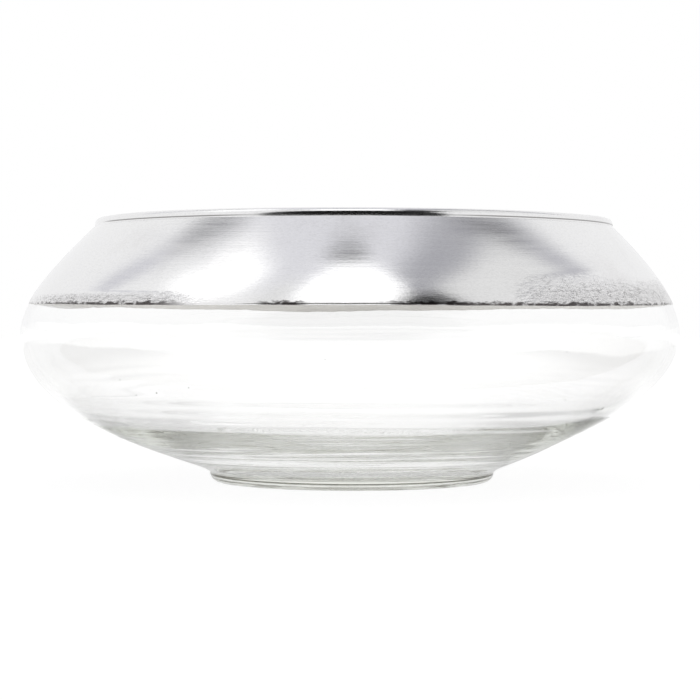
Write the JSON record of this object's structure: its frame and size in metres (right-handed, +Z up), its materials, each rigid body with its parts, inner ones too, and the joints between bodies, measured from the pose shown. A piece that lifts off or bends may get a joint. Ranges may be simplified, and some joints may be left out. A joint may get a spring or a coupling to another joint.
{
  "type": "glass bowl",
  "caption": "Low footed bowl with a wide rounded belly, an inward-sloping shoulder and a wide round mouth, its lip and shoulder covered by a polished metal overlay.",
  "frame": {"origin": "on the plane that the foot stands on, under the middle of the belly", "axes": "+Z up out of the mouth, along the axis that the bowl was blown round; -Y faces the viewer of the picture and +X is to the right"},
  "size_m": [0.28, 0.28, 0.1117],
  "materials": {
    "clear_glass": "fire-polished clear glass with a faint grey-green tint, fine turning ripples under the belly and a few tiny seeds",
    "polished_silver": "polished silver overlay with fine level brushing lines and a crinkled, slightly dulled lower edge"
  },
  "bodies": {
    "root": {"glass_body": "clear_glass", "glass_foot": "clear_glass", "silver_band": "polished_silver"}
  },
  "joints": []
}
